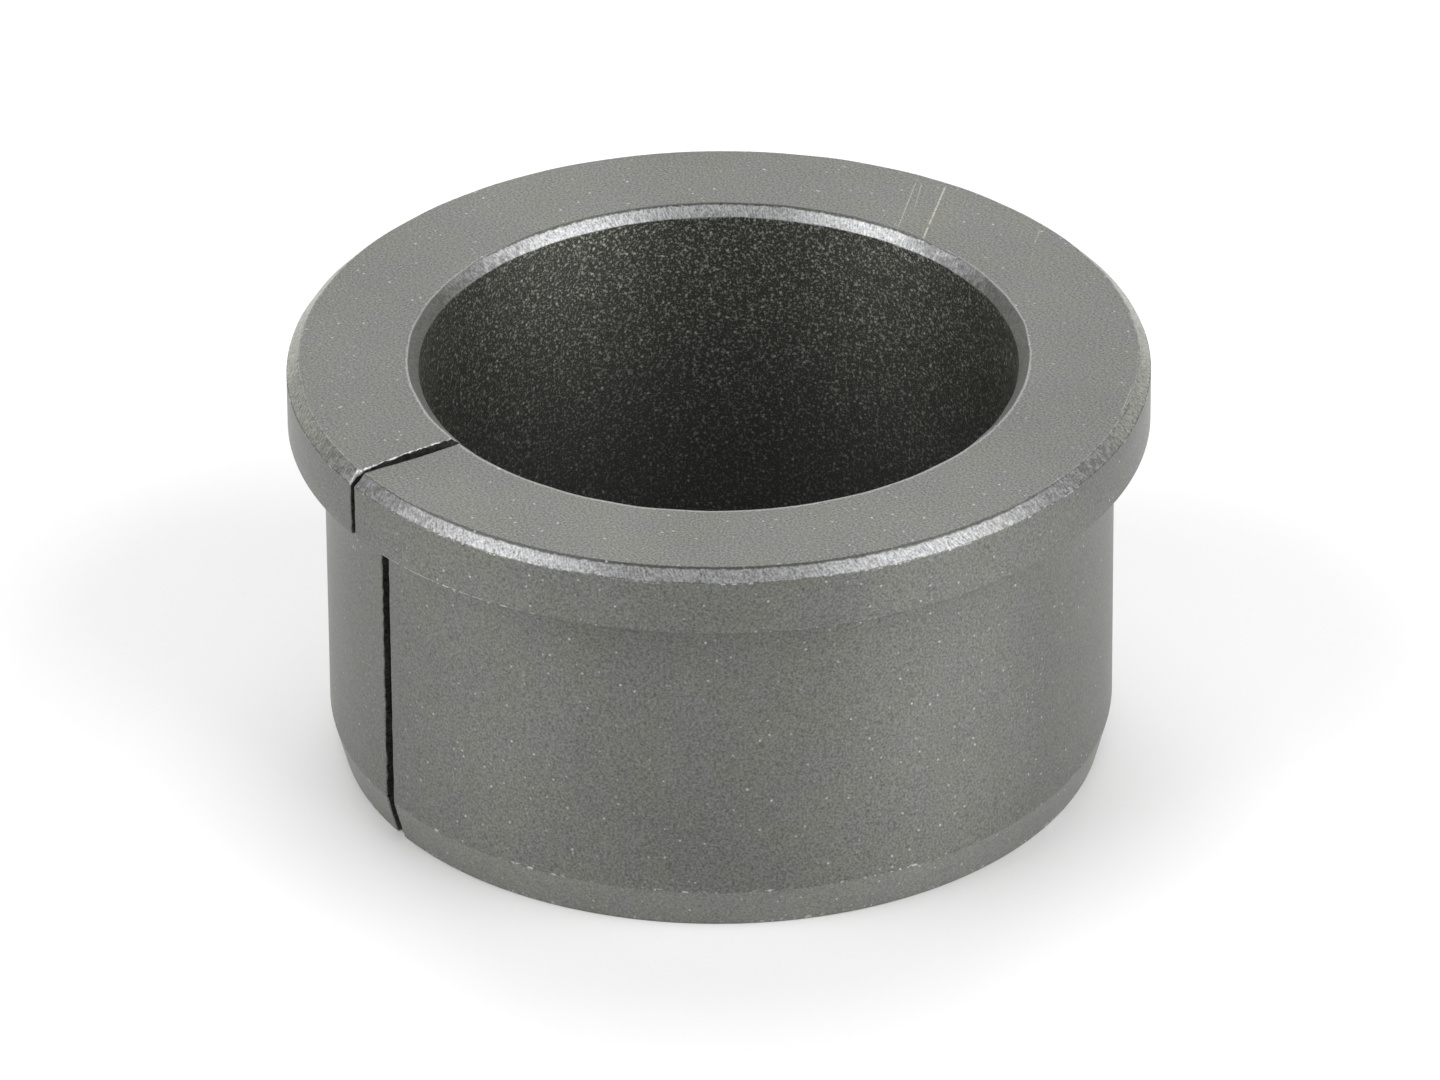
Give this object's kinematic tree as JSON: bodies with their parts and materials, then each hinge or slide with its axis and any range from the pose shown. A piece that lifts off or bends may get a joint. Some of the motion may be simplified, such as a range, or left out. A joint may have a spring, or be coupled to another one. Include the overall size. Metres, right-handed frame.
{
  "type": "split flanged bushing",
  "caption": "Split flanged sleeve bushing: a short thick-walled sleeve with a thin flange, a plain bore, a tapered lead-in and one narrow slit along its whole length.",
  "frame": {"origin": "centre of the bottom face, the end with the lead-in taper", "axes": "+Z along the bore towards the flange, -Y through the slit"},
  "size_m": [0.036, 0.036, 0.018],
  "materials": {
    "bush_metal": "dark grey matte surface film over fine-grained metal, worn bright on the chamfers"
  },
  "bodies": {
    "root": {"split_flanged_bush": "bush_metal"}
  },
  "joints": []
}
